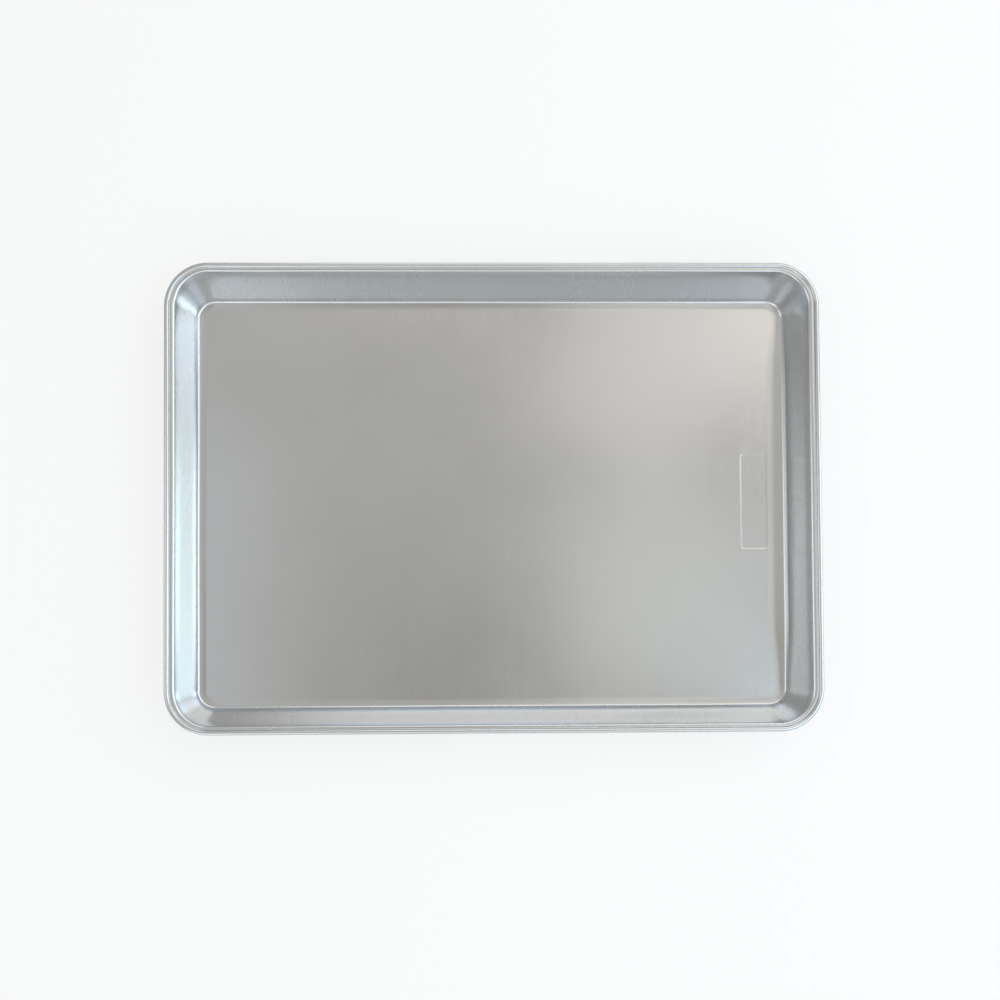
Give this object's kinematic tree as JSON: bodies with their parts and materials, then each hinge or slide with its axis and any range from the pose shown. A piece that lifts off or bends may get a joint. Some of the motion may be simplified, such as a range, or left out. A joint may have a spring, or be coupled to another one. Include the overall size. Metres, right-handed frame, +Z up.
{
  "type": "jelly roll pan",
  "caption": "Shallow rectangular baking pan of pressed sheet aluminium with flared walls, rounded corners and a rim rolled round a stiffening wire.",
  "frame": {"origin": "middle of the underside, on the surface that the pan rests on", "axes": "+X along the long side towards the end with the recessed panel, +Y along the short side, +Z up out of the pan"},
  "size_m": [0.4, 0.287, 0.0254],
  "materials": {
    "sheet_aluminium": "mill finish, satin with a fine rolling grain",
    "galvanised_wire": "dull galvanised"
  },
  "bodies": {
    "root": {"pan_sheet": "sheet_aluminium", "rim_wire": "galvanised_wire"}
  },
  "joints": []
}
